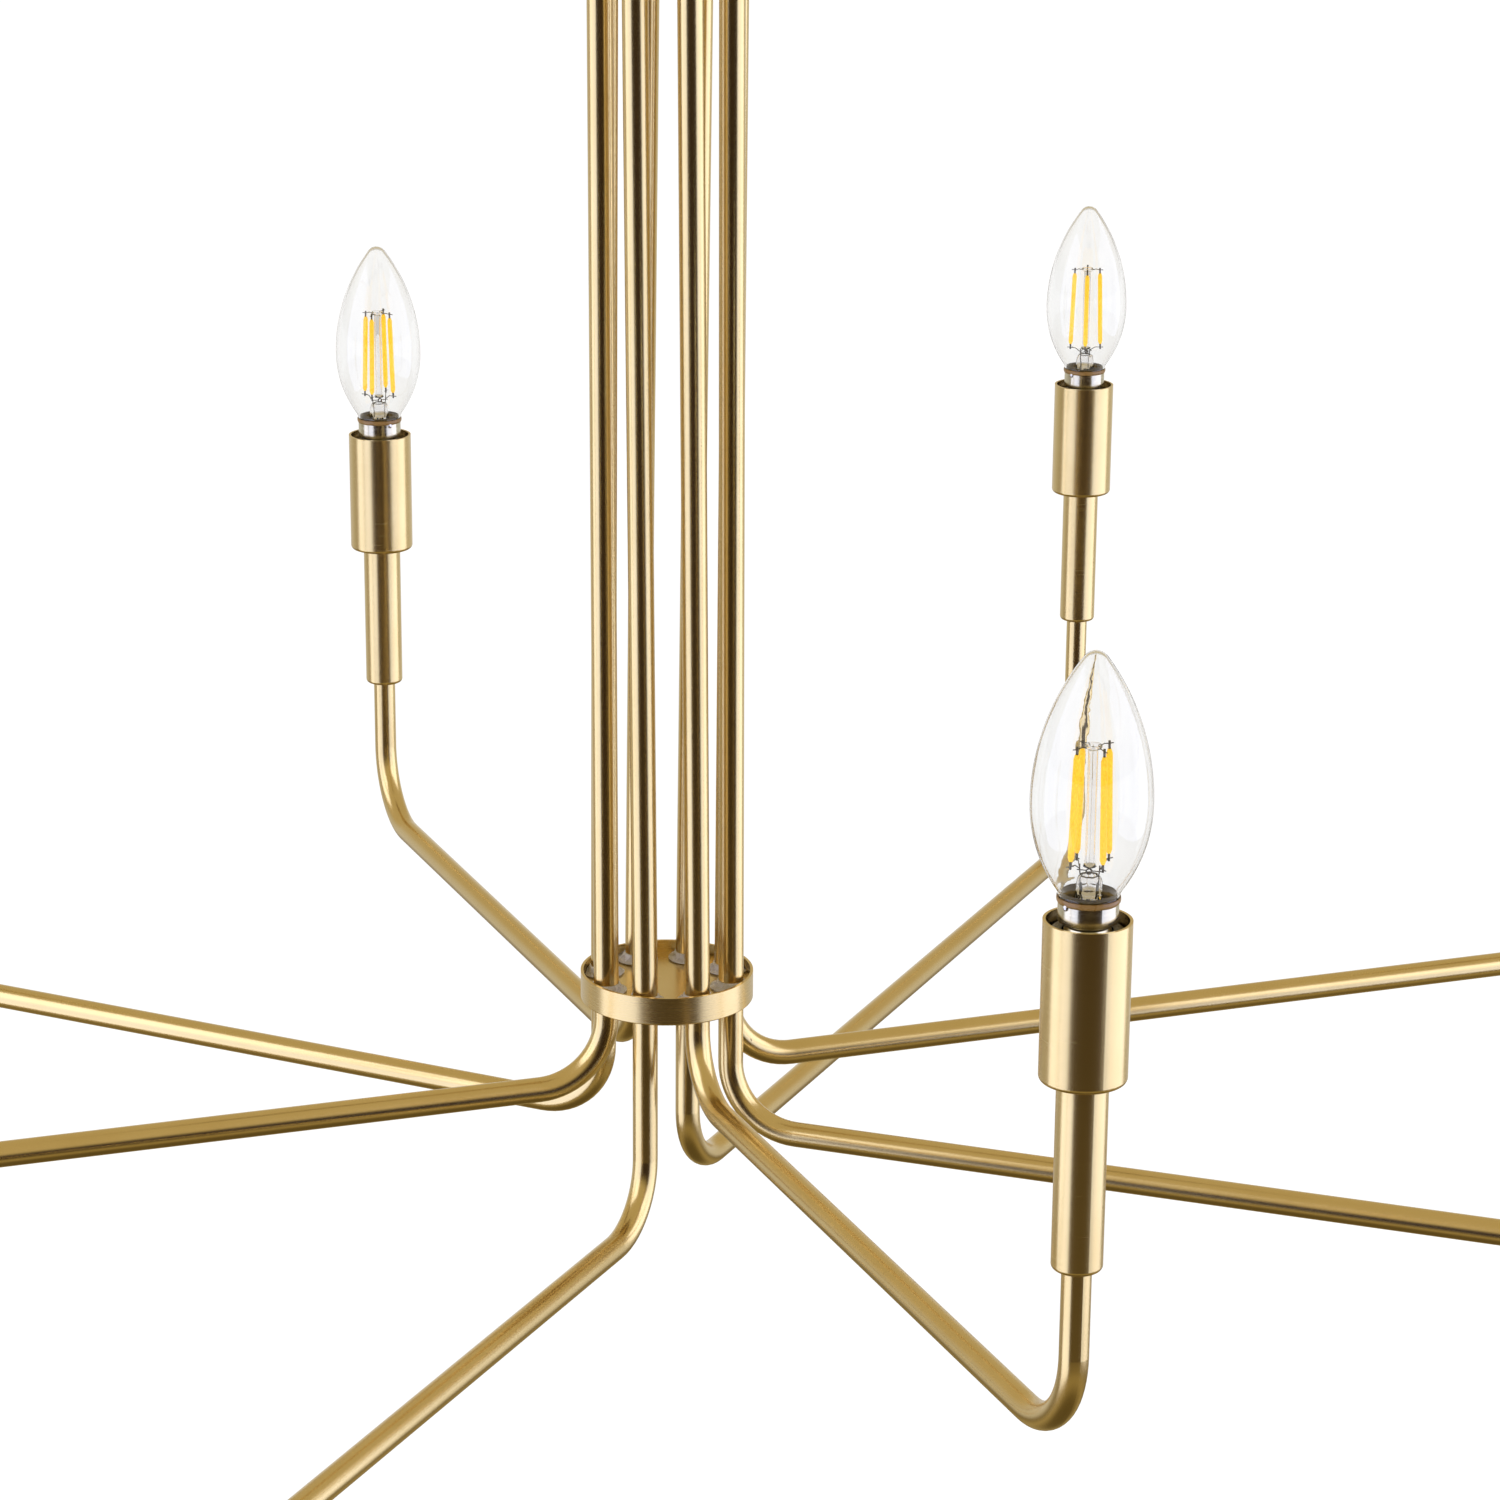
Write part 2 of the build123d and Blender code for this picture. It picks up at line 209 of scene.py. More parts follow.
def metal(name, colour, grain, rough_low, rough_high):
    """Bare, plated or painted metal with a fine grain."""
    material, tree, shader = new_material(name)
    shader.inputs["Metallic"].default_value = 1.0
    fine = noise_value(tree, grain, 3.0)
    darker = [c * 0.85 for c in colour]
    tree.links.new(ramp(tree, fine, [(0.3, darker), (0.7, colour)]), shader.inputs["Base Color"])
    tree.links.new(ramp(tree, fine, [(0.3, rough_low), (0.7, rough_high)]), shader.inputs["Roughness"])
    bumped(tree, shader, fine, 0.4, 0.00002)
    return material


def plastic(name, colour, rough_low, rough_high, grain=1500.0):
    """Moulded plastic with a faint texture."""
    material, tree, shader = new_material(name)
    fine = noise_value(tree, grain, 3.0)
    lighter = [min(1.0, c * 1.25 + 0.01) for c in colour]
    tree.links.new(ramp(tree, fine, [(0.35, colour), (0.7, lighter)]), shader.inputs["Base Color"])
    tree.links.new(ramp(tree, fine, [(0.3, rough_low), (0.7, rough_high)]), shader.inputs["Roughness"])
    bumped(tree, shader, fine, 0.3, 0.00003)
    return material


def clear_glass(name, tint):
    """Clear lamp glass, with very faint drawn streaks."""
    material, tree, shader = new_material(name)
    shader.inputs["Transmission Weight"].default_value = 1.0
    shader.inputs["IOR"].default_value = 1.45
    streaks = noise_value(tree, (150.0, 150.0, 14.0), 2.0)
    pale = [c * 0.97 for c in tint]
    tree.links.new(ramp(tree, streaks, [(0.35, pale), (0.65, tint)]), shader.inputs["Base Color"])
    tree.links.new(ramp(tree, streaks, [(0.35, 0.0), (0.7, 0.01)]), shader.inputs["Roughness"])
    bumped(tree, shader, streaks, 0.2, 0.0002)
    return material


def phosphor(name):
    """Amber phosphor over the filament's row of chips, with a faint painted glow on the unlit filament."""
    material, tree, shader = new_material(name)
    cloud = noise_value(tree, 1400.0, 3.0)
    colour = ramp(tree, cloud, [(0.3, (1.0, 0.54, 0.02)), (0.7, (1.0, 0.68, 0.045))])
    tree.links.new(colour, shader.inputs["Base Color"])
    # Painted glow: the amber is also given as emission, though the lamp is off, to brighten it.
    tree.links.new(colour, shader.inputs["Emission Color"])
    shader.inputs["Emission Strength"].default_value = 0.7
    shader.inputs["Roughness"].default_value = 0.5
    shader.inputs["Subsurface Weight"].default_value = 0.2
    shader.inputs["Subsurface Radius"].default_value = (0.001, 0.0006, 0.0002)
    bumped(tree, shader, cloud, 0.4, 0.00008)
    return material


def washer_plastic(name):
    """Milky soft plastic, with faint creases."""
    material, tree, shader = new_material(name)
    cloud = noise_value(tree, 420.0, 4.0)
    colour = ramp(tree, cloud, [(0.3, (0.72, 0.69, 0.64)), (0.65, (0.98, 0.97, 0.95))])
    tree.links.new(colour, shader.inputs["Base Color"])
    tree.links.new(ramp(tree, cloud, [(0.3, 0.16), (0.7, 0.36)]), shader.inputs["Roughness"])
    shader.inputs["Transmission Weight"].default_value = 0.25
    shader.inputs["IOR"].default_value = 1.45
    shader.inputs["Subsurface Weight"].default_value = 0.5
    shader.inputs["Subsurface Radius"].default_value = (0.002, 0.002, 0.0018)
    shader.inputs["Subsurface Scale"].default_value = 1.0
    shader.inputs["Coat Weight"].default_value = 0.4
    shader.inputs["Coat Roughness"].default_value = 0.15
    bumped(tree, shader, cloud, 0.35, 0.00012)
    return material


BRASS_TONE = (0.745, 0.58, 0.262)
MATERIALS = {
    "tube": brass("satin_brass_tube", BRASS_TONE, 4200.0, 0.0000022, 0.22, 0.26),
    "turned": brass("brushed_brass_turned", BRASS_TONE, (45.0, 45.0, 5200.0), 0.0000016, 0.235, 0.275),
    "dish": brass("brushed_brass_dish", BRASS_TONE, (60.0, 60.0, 4800.0), 0.0000020, 0.24, 0.285),
    "canopy": brass("satin_brass_canopy", BRASS_TONE, 3000.0, 0.000004, 0.26, 0.34),
    "steel": metal("zinc_steel", (0.55, 0.55, 0.54), 900.0, 0.28, 0.5),
    "nickel": metal("bright_nickel", (0.70, 0.655, 0.48), (300.0, 300.0, 900.0), 0.16, 0.26),
    "wire": metal("filament_wire", (0.16, 0.15, 0.15), 3000.0, 0.3, 0.5),
    "solder": metal("solder", (0.70, 0.70, 0.70), 2500.0, 0.15, 0.35),
    "green": metal("green_screw", (0.05, 0.32, 0.11), 1200.0, 0.25, 0.45),
    "black": plastic("black_phenolic", (0.012, 0.012, 0.013), 0.22, 0.38),
    "leads": plastic("lead_insulation", (0.75, 0.74, 0.70), 0.4, 0.55),
    "cement": plastic("basing_cement", (0.125, 0.088, 0.024), 0.6, 0.8, 1800.0),
    "scorch": plastic("neck_lacquer", (0.21, 0.115, 0.028), 0.22, 0.42, 900.0),
    "glass": clear_glass("clear_glass", (0.965, 0.97, 0.972)),
    "stem": clear_glass("stem_glass", (0.985, 0.98, 0.985)),
    "phosphor": phosphor("amber_phosphor"),
    "washer": washer_plastic("crumpled_plastic"),
}


# ---- mesh helpers ---------------------------------------------------------------
def mesh_object(name, mesh, finish):
    """An object for a mesh, with its finish and smooth faces."""
    mesh.materials.clear()
    mesh.materials.append(MATERIALS[finish])
    for face in mesh.polygons:
        face.use_smooth = True
    item = bpy.data.objects.new(name, mesh)
    bpy.context.scene.collection.objects.link(item)
    return item


def closed_lathe(bm, outline, segments, wobble=None):
    """Turns a closed outline of (radius, height) in mm about Z; wobble may move each point."""
    rings = []
    for radius, height in outline:
        if radius < 1e-6:
            rings.append([bm.verts.new((0, 0, height * MM))])
            continue
        ring = []
        for step in range(segments):
            angle = 2 * math.pi * step / segments
            r, z = (radius, height) if wobble is None else wobble(radius, height, angle)
            ring.append(bm.verts.new((r * MM * math.cos(angle), r * MM * math.sin(angle), z * MM)))
        rings.append(ring)
    for low, high in zip(rings, rings[1:] + rings[:1]):
        bridge(bm, low, high, segments)


def bridge(bm, low, high, segments):
    """Faces between two rings, or between a ring and a point."""
    if len(low) == 1 and len(high) == 1:
        return
    for step in range(segments):
        after = (step + 1) % segments
        if len(low) == 1:
            bm.faces.new((low[0], high[step], high[after]))
        elif len(high) == 1:
            bm.faces.new((low[step], low[after], high[0]))
        else:
            bm.faces.new((low[step], low[after], high[after], high[step]))


def round_bar(bm, points, radius, sides=8):
    """A round bar along points in mm, closed at both ends."""
    spots = [Vector(p) * MM for p in points]
    rings = []
    side = None
    for index, spot in enumerate(spots):
        ahead = spots[min(index + 1, len(spots) - 1)] - spots[max(index - 1, 0)]
        ahead.normalize()
        if side is None:
            side = ahead.orthogonal().normalized()
        side = (side - ahead * side.dot(ahead)).normalized()
        other = ahead.cross(side)
        ring = []
        for step in range(sides):
            angle = 2 * math.pi * step / sides
            outward = side * math.cos(angle) + other * math.sin(angle)
            ring.append(bm.verts.new(spot + outward * radius * MM))
        rings.append(ring)
    for low, high in zip(rings, rings[1:]):
        bridge(bm, low, high, sides)
    bm.faces.new(list(reversed(rings[0])))
    bm.faces.new(rings[-1])


def finished(bm, name):
    """Turns a bmesh into a mesh whose faces point outward."""
    bmesh.ops.recalc_face_normals(bm, faces=bm.faces)
    mesh = bpy.data.meshes.new(name)
    bm.to_mesh(mesh)
    bm.free()
    return mesh


def arc(centre, radius, start, end, steps):
    """Points (radius, height) on an arc, angles in degrees from the outward direction."""
    points = []
    for step in range(steps + 1):
        angle = math.radians(start + (end - start) * step / steps)
        points.append((centre[0] + radius * math.cos(angle), centre[1] + radius * math.sin(angle)))
    return points


# ---- bulb -------------------------------------------------------------------------
def bulb_line(inset):
    """Outline of the glass from its tip down to the neck, moved in by an inset."""
    rise = BULB_WIDEST - NOSE_RADIUS
    ogive = (BULB_RADIUS**2 + rise**2 - NOSE_RADIUS**2) / (2 * (BULB_RADIUS - NOSE_RADIUS))
    lean = math.degrees(math.atan2(rise, ogive - BULB_RADIUS))
    turn = math.degrees(math.acos(1 - (BULB_RADIUS - NECK_RADIUS) / (BELLY_RADIUS + NECK_BEND)))
    sine, cosine = math.sin(math.radians(turn)), math.cos(math.radians(turn))
    reach = BELLY_RADIUS + NECK_BEND
    neck_centre = (BULB_RADIUS - BELLY_RADIUS + reach * cosine, -BULB_WIDEST - reach * sine)
    line = arc((0, -NOSE_RADIUS), NOSE_RADIUS - inset, 90, lean, 8)
    line += arc((BULB_RADIUS - ogive, -BULB_WIDEST), ogive - inset, lean, 0, 22)[1:]
    line += arc((BULB_RADIUS - BELLY_RADIUS, -BULB_WIDEST), BELLY_RADIUS - inset, 0, -turn, 16)[1:]
    line += arc(neck_centre, NECK_BEND + inset, 180 - turn, 180, 8)[1:]
    line.append((NECK_RADIUS - inset, -BULB_LENGTH))
    line[0] = (0.0, line[0][1])
    return line


def envelope_mesh():
    """Glass of the bulb, outside and inside."""
    bm = bmesh.new()
    closed_lathe(bm, bulb_line(0) + list(reversed(bulb_line(GLASS_WALL))), 72)
    return finished(bm, "envelope")


def stem_mesh():
    """Glass stem with its fluted pinch, and the clear tube that stands over it."""
    bm = bmesh.new()
    outer = [(2.3, STEM_TOP + 0.7), (2.9, STEM_TOP + 0.45), (3.35, STEM_TOP - 0.2)]
    outer += [(3.6, STEM_TOP - 1.3), (3.75, STEM_WAIST), (4.1, STEM_FOOT)]
    inner = [(3.65, STEM_FOOT - 0.2), (3.3, STEM_WAIST - 0.1), (3.15, STEM_TOP - 1.4)]
    inner += [(2.9, STEM_TOP - 0.45), (2.5, STEM_TOP + 0.05), (2.1, STEM_TOP + 0.3)]

    def fluted(radius, height, angle):
        return radius + 0.14 * math.cos(7 * angle) + 0.1 * math.sin(3 * angle + height), height

    closed_lathe(bm, outer + inner, 84, fluted)
    bore = ROD_RADIUS - ROD_WALL
    tube = [(ROD_RADIUS + 0.5, ROD_FOOT), (ROD_RADIUS + 0.1, ROD_FOOT + 1.2), (ROD_RADIUS, ROD_FOOT + 2.4)]
    tube += [(ROD_RADIUS, ROD_TOP - 1.4), (1.9, ROD_TOP - 0.9), (2.5, ROD_TOP - 0.5)]
    tube += [(2.55, ROD_TOP), (2.2, ROD_TOP + 0.35), (1.6, ROD_TOP + 0.1), (1.35, ROD_TOP - 0.7)]
    tube += [(bore, ROD_TOP - 1.6), (bore, ROD_FOOT + 1.2), (bore + 0.3, ROD_FOOT + 0.1)]
    closed_lathe(bm, tube, 32)
    return finished(bm, "stem")


def filament_points(index):
    """Way out from the axis to a filament, then its top and its foot."""
    angle = 2 * math.pi * (index + 0.5) / FILAMENTS
    out = Vector((math.sin(angle), -math.cos(angle), 0))
    lift = FILAMENT_STAGGER * math.sin(index * 2.1)
    top = out * FILAMENT_RING_TOP + Vector((0, 0, FILAMENT_TOP + lift * 0.3))
    foot = out * FILAMENT_RING_FOOT + Vector((0, 0, FILAMENT_FOOT + lift * 0.5))
    return out, top, foot


def filaments_mesh():
    """Filaments with narrowed ends and a slightly uneven coat."""
    bm = bmesh.new()
    count = 26
    for index in range(FILAMENTS):
        _, top, foot = filament_points(index)
        line = [top + (foot - top) * step / count for step in range(count + 1)]
        first = len(bm.verts)
        round_bar(bm, line, FILAMENT_RADIUS, 12)
        bm.verts.ensure_lookup_table()
        for number in range(first, len(bm.verts)):
            vert = bm.verts[number]
            height = vert.co.z / MM
            share = min(abs(height - top.z), abs(height - foot.z))
            centre = top + (foot - top) * ((height - top.z) / (foot.z - top.z))
            offset = vert.co / MM - centre
            uneven = 1 + 0.05 * noise.noise(Vector((index * 7, 0, height * 1.3)))
            swell = min(1.0, 0.55 + 0.9 * share) * uneven
            vert.co = (centre + offset * swell) * MM
    return finished(bm, "filaments")


def wires_mesh():
    """End tabs, cross wires, the star at the top, the lead wires out of the stem and their loop."""
    bm = bmesh.new()
    for index in range(FILAMENTS):
        out, top, foot = filament_points(index)
        along = (foot - top).normalized()
        round_bar(bm, [top + along * 0.3, top - along * 2.4], TAB_RADIUS, 8)
        round_bar(bm, [foot - along * 0.3, foot + along * 2.3], TAB_RADIUS, 8)
        bar = top - along * 1.6
        inner_end = Vector((0, 0, ROD_TOP - 0.6)) + out * 1.9
        raised = (inner_end + bar) / 2 + Vector((0, 0, 0.4))
        round_bar(bm, [inner_end, raised, bar, bar + out * 1.4], WIRE_RADIUS, 6)
        spot = foot + along * 1.5
        round_bar(bm, [spot - out * 1.2, spot + out * 1.4], WIRE_RADIUS, 6)
    for pair in (0, 2):
        feet = [filament_points(pair + step) for step in (0, 1)]
        ends = [foot + (foot - top).normalized() * 1.5 for _, top, foot in feet]
        middle = (ends[0] + ends[1]) / 2 * 0.62
        crossing = Vector((middle.x, middle.y, STEM_TOP + 2.1))
        for end in ends:
            knee = (end + crossing) / 2 + Vector((0, 0, 0.7))
            round_bar(bm, [end, knee, crossing], WIRE_RADIUS, 6)
        inside = Vector((middle.x * 0.85, middle.y * 0.85, STEM_TOP - 1.6))
        foot_end = Vector((middle.x * 0.75, middle.y * 0.75, STEM_FOOT))
        round_bar(bm, [crossing + Vector((0, 0, 1.4)), crossing, inside, foot_end], WIRE_RADIUS * 1.2, 8)
    side = Vector((1, 0, 0))
    level = Vector((0, -0.4, STEM_TOP + 1.9))
    for reach in (-1, 1):
        round_bar(bm, [level + side * reach * 3.6, level + side * reach * LOOP_RADIUS], WIRE_RADIUS, 6)
    turns = [2 * math.pi * step / 14 for step in range(29)]
    loop = [level + Vector((math.sin(t), -0.12 * t, math.cos(t))) * LOOP_RADIUS for t in turns]
    round_bar(bm, loop, WIRE_RADIUS * 1.1, 6)
    return finished(bm, "wires")


def cement_mesh():
    """Cement disc inside the neck."""
    bm = bmesh.new()
    profile = ((0, 0), (3.2, 0), (4.9, 0.05), (6.6, 0.3), (7.7, 0.8), (8.08, 1.2))
    outline = [(radius, CEMENT_LEVEL + rise) for radius, rise in profile]
    outline += [(8.12, CEMENT_FOOT), (0, CEMENT_FOOT)]
    closed_lathe(bm, outline, 48)
    return finished(bm, "cement")


def neck_ring_mesh():
    """Lacquered edge where the glass enters the cap."""
    bm = bmesh.new()
    profile = ((0.05, 0), (0.25, 0.2), (0.32, 0.9), (0.22, 1.5), (-0.05, 1.9), (-0.1, 1.2), (0.03, 0.6))
    outline = [(NECK_RADIUS + out, NECK_EDGE - fall) for out, fall in profile]

    def uneven(radius, height, angle):
        return radius, height + 0.14 * noise.noise(Vector((3 * math.cos(angle), 3 * math.sin(angle), 0)))

    closed_lathe(bm, outline, 64, uneven)
    return finished(bm, "neck_ring")


def solder_mesh():
    """Flattened drop of solder at the cap's top edge."""
    bm = bmesh.new()
    bmesh.ops.create_uvsphere(bm, u_segments=18, v_segments=12, radius=SOLDER_RADIUS * MM)
    for vert in bm.verts:
        vert.co.y *= 0.55
        vert.co += vert.co.normalized() * 0.12 * MM * noise.noise(vert.co * 1600)
        vert.co += Vector((0, -SOLDER_REACH, SOLDER_LEVEL)) * MM
    return finished(bm, "solder_drop")


def shell_mesh():
    """Rolled screw shell that lines the lampholder's bore."""
    bm = bmesh.new()
    sides, steps = 40, 60
    rings = []
    for wall in (SHELL_OUTER, SHELL_INNER):
        for step in range(steps + 1):
            height = -SHELL_DEPTH * step / steps
            ring = []
            for side in range(sides):
                angle = 2 * math.pi * side / sides
                radius = wall + SHELL_WAVE * math.sin(2 * math.pi * height / SHELL_PITCH + angle)
                spot = Vector((radius * math.cos(angle), radius * math.sin(angle), height))
                ring.append(bm.verts.new(spot * MM))
            rings.append(ring)
    outer, inner = rings[: steps + 1], rings[steps + 1 :]
    for low, high in list(zip(outer, outer[1:])) + list(zip(inner, inner[1:])):
        bridge(bm, low, high, sides)
    bridge(bm, outer[0], inner[0], sides)
    bridge(bm, outer[-1], inner[-1], sides)
    return finished(bm, "screw_shell")


def make_bulb(letter, pieces):
    """The detailed glass and what it holds, in the place of the plain envelope."""
    node = "bulb_glass_" + letter
    low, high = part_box(node)
    tip = Vector(((low[0] + high[0]) / 2, (low[1] + high[1]) / 2, high[2]))
    turn = Matrix.Rotation(math.radians(BULB_TURN[letter]), 4, "Z")
    spot_turn = Matrix.Rotation(math.radians(SOLDER_TURN[letter]), 4, "Z")
    for label, (mesh, finish) in pieces.items():
        item = mesh_object("bulb_" + label + "_" + letter, mesh, finish)
        # The envelope is round and takes no turn, so that its bounding box stays tight.
        own_turn = {"envelope": Matrix.Identity(4), "solder_drop": spot_turn}.get(label, turn)
        item.matrix_world = Matrix.Translation(tip) @ own_turn
        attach(item, "bulb_" + letter)
        if label == "envelope":
            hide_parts(node)


def make_shell(letter, mesh):
    """Screw shell inside the lampholder."""
    low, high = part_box("socket_cup_" + letter)
    item = mesh_object("screw_shell_" + letter, mesh, "nickel")
    item.location = ((low[0] + high[0]) / 2, (low[1] + high[1]) / 2, high[2] - SHELL_BELOW_RIM * MM)
    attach(item, "arm_" + letter)


def rod_feet():
    """Centres of the rods on the hub's floor, from the arms' swing axes."""
    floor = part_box("hub_washers")[0][2]
    joints = frame["record"]["behaviour"]["joints"]
    axes = [joint["pos_m"] for joint in joints if joint["name"].endswith("_swing")]
    return [Vector((x, y, floor)) for x, y, _ in axes]


def washer_mesh(seed, foot):
    """A soft cup washer, pressed out of round, and bent up where it meets the hub's rim."""
    bm = bmesh.new()
    height = (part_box("hub_washers")[1][2] - foot.z) / MM
    outline = [(4.0, height), (4.9, height), (5.15, height - 0.5), (5.45, height - 1.2)]
    outline += [(5.9, 1.15), (6.5, 0.72), (7.05, 0.62), (7.35, 0.78), (7.5, 0.6), (7.4, 0.3), (7.0, 0.16)]
    outline += [(6.3, 0.3), (5.6, 0.8), (5.1, height - 1.5), (4.75, height - 0.5), (4.0, height - 0.4)]
    centre = foot / MM

    def pressed(radius, level, angle):
        share = min(1.0, max(0.0, (radius - 5.0) / 2.3))
        spot = Vector((math.cos(angle), math.sin(angle), seed * 3.7))
        wave = noise.noise(spot * 0.9) + 0.35 * noise.noise(spot * 2.6)
        radius = radius + share * 0.45 * wave
        level = level + share * (0.45 * max(0.0, wave) + 0.12 * noise.noise(spot * 5.0))
        x, y = centre.x + radius * math.cos(angle), centre.y + radius * math.sin(angle)
        over = max(0.0, math.hypot(x, y) - WASHER_REACH)
        return radius - 1.15 * over, min(max(level, 0.05) + 0.9 * over, height)

    closed_lathe(bm, outline, 112, pressed)
    for vert in bm.verts:
        flat = Vector((vert.co.x + foot.x, vert.co.y + foot.y))
        if flat.length > WASHER_REACH * MM:
            flat *= WASHER_REACH * MM / flat.length
            vert.co.x, vert.co.y = flat.x - foot.x, flat.y - foot.y
    return finished(bm, "washer_%d" % seed)


def make_washers():
    """One crumpled washer at the foot of each rod."""
    first = None
    for number, foot in enumerate(rod_feet()):
        item = mesh_object("rod_washer_%d" % (number + 1), washer_mesh(number + 1, foot), "washer")
        item.location = foot
        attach(item, "frame")
        if first is None:
            first = item
            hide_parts("hub_washers")


# ---- CAD nodes' finishes -------------------------------------------------------------
def finish_of(node):
    """Name of the finish that a CAD node takes."""
    fixed = {
        "canopy": "canopy", "support_plate": "steel", "crossbar": "steel", "ground_screw": "green",
        "canopy_studs": "steel", "stud_nuts": "steel", "ball_nuts": "turned", "down_rods": "tube",
        "rod_fasteners": "steel", "rod_leads": "leads", "hub_dish": "dish", "hub_washers": "washer",
    }
    if node in fixed:
        return fixed[node]
    starts = {"arm_tube": "tube", "candle_sleeve": "turned", "socket_cup": "turned"}
    starts.update({"lampholder": "black", "bulb_cap": "nickel", "bulb_glass": "glass"})
    return next(finish for start, finish in starts.items() if node.startswith(start))


def paint_nodes():
    """Puts its finish on each CAD node."""
    for name, item in frame["nodes"].items():
        item.data.materials.clear()
        item.data.materials.append(MATERIALS[finish_of(name)])


# ---- studio ------------------------------------------------------------------------------
def make_floor():
    """Wide pale floor below the lamp, left out of mirror reflections like a swept-back studio sheet."""
    mesh = bpy.data.meshes.new("floor")
    signs = ((-1, -1), (1, -1), (1, 1), (-1, 1))
    corners = [(FLOOR_HALF * x, FLOOR_HALF * y, FLOOR_LEVEL) for x, y in signs]
    mesh.from_pydata(corners, [], [(0, 1, 2, 3)])
    floor = bpy.data.objects.new("floor", mesh)
    bpy.context.scene.collection.objects.link(floor)
    material, tree, shader = new_material("pale_floor")
    cloud = noise_value(tree, 3.0)
    tree.links.new(ramp(tree, cloud, [(0.3, 0.16), (0.7, 0.18)]), shader.inputs["Base Color"])
    shader.inputs["Roughness"].default_value = 0.9
    shader.inputs["Emission Color"].default_value = (0.965, 0.975, 1.0, 1.0)
    shader.inputs["Emission Strength"].default_value = 0.975
    mesh.materials.append(material)
    floor.visible_glossy = False


def panel(name, corner, far_corner, top):
    """Upright soft panel between two plan points, facing the lamp; glass and camera look past it."""
    start, end = Vector((*corner, 0)), Vector((*far_corner, 0))
    width, height = (end - start).length, top - PANEL_BOTTOM
    middle = (start + end) / 2
    middle.z = (PANEL_BOTTOM + top) / 2
    data = bpy.data.lights.new(name, "AREA")
    data.shape = "RECTANGLE"
    data.size = width
    data.size_y = height
    data.energy = PANEL_RADIANCE * math.pi * width * height
    data.color = PANEL_TINT
    item = bpy.data.objects.new(name, data)
    upward = Vector((0, 0, 1))
    facing = (end - start).normalized().cross(upward)
    if facing.dot(Vector((0, 0, middle.z)) - middle) < 0:
        facing = -facing
    axes = Matrix((upward.cross(-facing), upward, -facing)).transposed()
    item.matrix_world = Matrix.Translation(middle) @ axes.to_4x4()
    item.visible_camera = False
    item.visible_transmission = False
    bpy.context.scene.collection.objects.link(item)


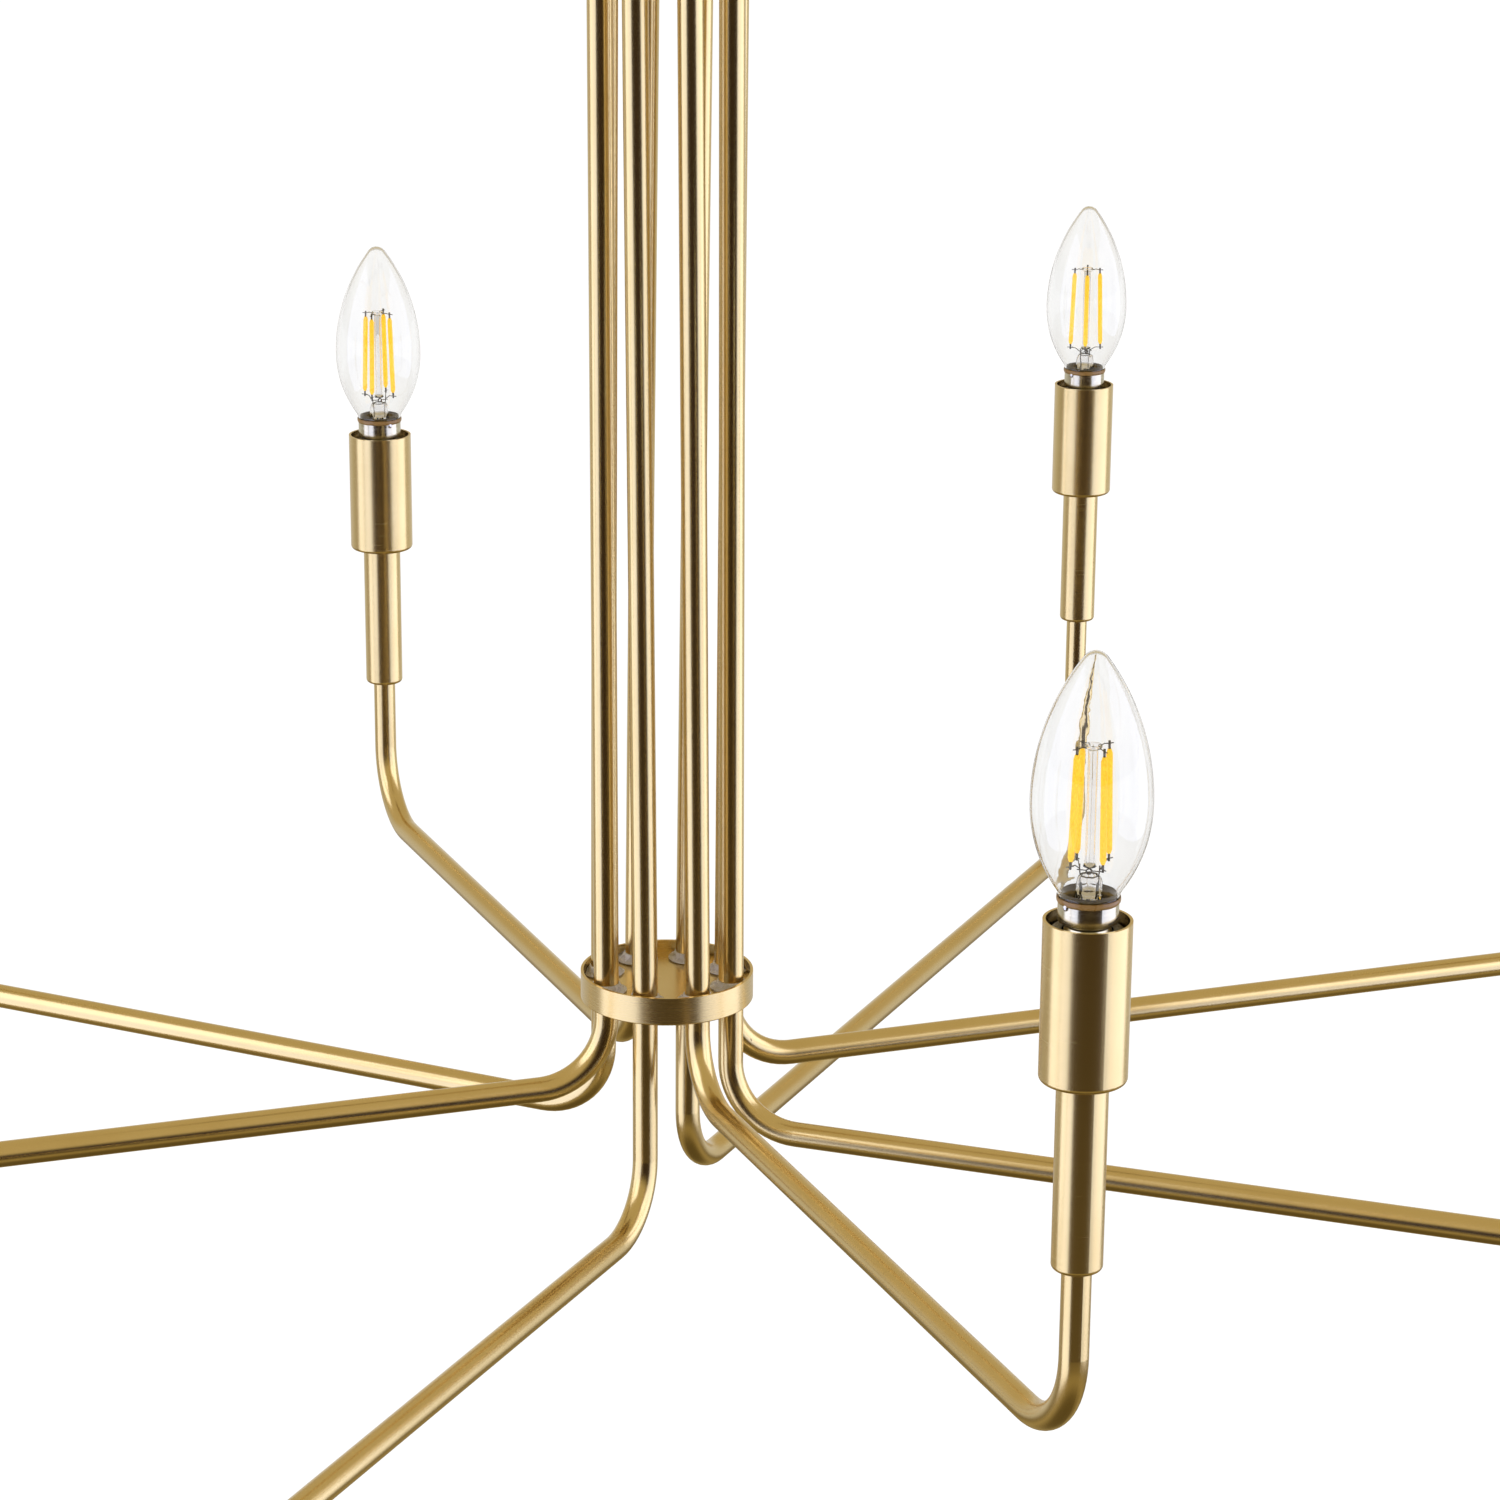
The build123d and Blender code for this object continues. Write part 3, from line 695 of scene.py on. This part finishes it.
def make_world():
    """Studio all round: dark in front, pale behind, warm above, dim below; the camera sees white."""
    world = bpy.data.worlds.new("studio")
    world.use_nodes = True
    bpy.context.scene.world = world
    tree = world.node_tree
    background = tree.nodes["Background"]
    source = tree.nodes.new("ShaderNodeTexCoord")
    split = tree.nodes.new("ShaderNodeSeparateXYZ")
    tree.links.new(source.outputs["Generated"], split.inputs["Vector"])

    def scaled(socket, factor, offset):
        node = tree.nodes.new("ShaderNodeMath")
        node.operation = "MULTIPLY_ADD"
        tree.links.new(socket, node.inputs[0])
        node.inputs[1].default_value = factor
        node.inputs[2].default_value = offset
        return node.outputs[0]

    back = ramp(tree, scaled(split.outputs["Y"], 0.5, 0.5), [
        (0.0, (0.016, 0.004, 0.0)), (0.22, (0.020, 0.006, 0.0)), (0.40, (0.28, 0.23, 0.16)),
        (0.75, (0.62, 0.59, 0.54)), (1.0, (0.74, 0.72, 0.69)),
    ])
    height = scaled(split.outputs["Z"], 0.5, 0.5)
    above = ramp(tree, height, [(0.0, 0.0), (0.50, 0.0), (0.66, 1.0), (1.0, 1.0)])
    below = ramp(tree, height, [(0.0, 1.0), (0.24, 1.0), (0.34, 0.0), (1.0, 0.0)])
    ground = ramp(tree, height, [
        (0.0, (0.13, 0.095, 0.035)), (0.05, (0.15, 0.11, 0.04)), (0.15, (0.42, 0.33, 0.15)),
        (0.25, (0.20, 0.15, 0.06)),
    ])
    sky = mixed(tree, above, back, (0.59, 0.49, 0.30))
    sky = mixed(tree, below, sky, ground)
    path = tree.nodes.new("ShaderNodeLightPath")
    seen = mixed(tree, path.outputs["Is Camera Ray"], sky, (1.0, 1.0, 1.0))
    tree.links.new(seen, background.inputs["Color"])
    background.inputs["Strength"].default_value = 1.0


def make_camera():
    """Camera in front of the lamp, a little above the hub, looking down at it."""
    data = bpy.data.cameras.new("camera")
    data.sensor_width = SENSOR_MM
    data.lens = LENS_MM
    data.clip_end = 200.0
    camera = bpy.data.objects.new("camera", data)
    bpy.context.scene.collection.objects.link(camera)
    yaw, pitch, roll = (math.radians(turn) for turn in (CAMERA_YAW, CAMERA_PITCH, CAMERA_ROLL))
    ahead = Vector((math.sin(yaw) * math.cos(pitch), math.cos(yaw) * math.cos(pitch), -math.sin(pitch)))
    level = Vector((math.cos(yaw), -math.sin(yaw), 0))
    upward = level.cross(ahead)
    right = level * math.cos(roll) + upward * math.sin(roll)
    up = upward * math.cos(roll) - level * math.sin(roll)
    hub_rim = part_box("hub_dish")[1][2]
    place = Vector((CAMERA_X, CAMERA_Y, hub_rim + CAMERA_ABOVE_HUB))
    axes = Matrix((right, up, -ahead)).transposed()
    camera.matrix_world = Matrix.Translation(place) @ axes.to_4x4()
    bpy.context.scene.camera = camera


make_camera()
make_world()
make_floor()
panel("panel_left", (-1.28, -1.87), (-2.3, 0.2), 1.2)
panel("panel_right", (2.7, -2.5), (3.2, 1.5), 1.6)
bpy.context.scene.view_settings.view_transform = "Standard"

paint_nodes()
BULB_PIECES = {
    "envelope": (envelope_mesh(), "glass"),
    "stem": (stem_mesh(), "stem"),
    "filaments": (filaments_mesh(), "phosphor"),
    "wires": (wires_mesh(), "wire"),
    "cement": (cement_mesh(), "cement"),
    "neck_ring": (neck_ring_mesh(), "scorch"),
    "solder_drop": (solder_mesh(), "solder"),
}
SHELL = shell_mesh()
for letter in ARMS:
    make_bulb(letter, BULB_PIECES)
    make_shell(letter, SHELL)
make_washers()
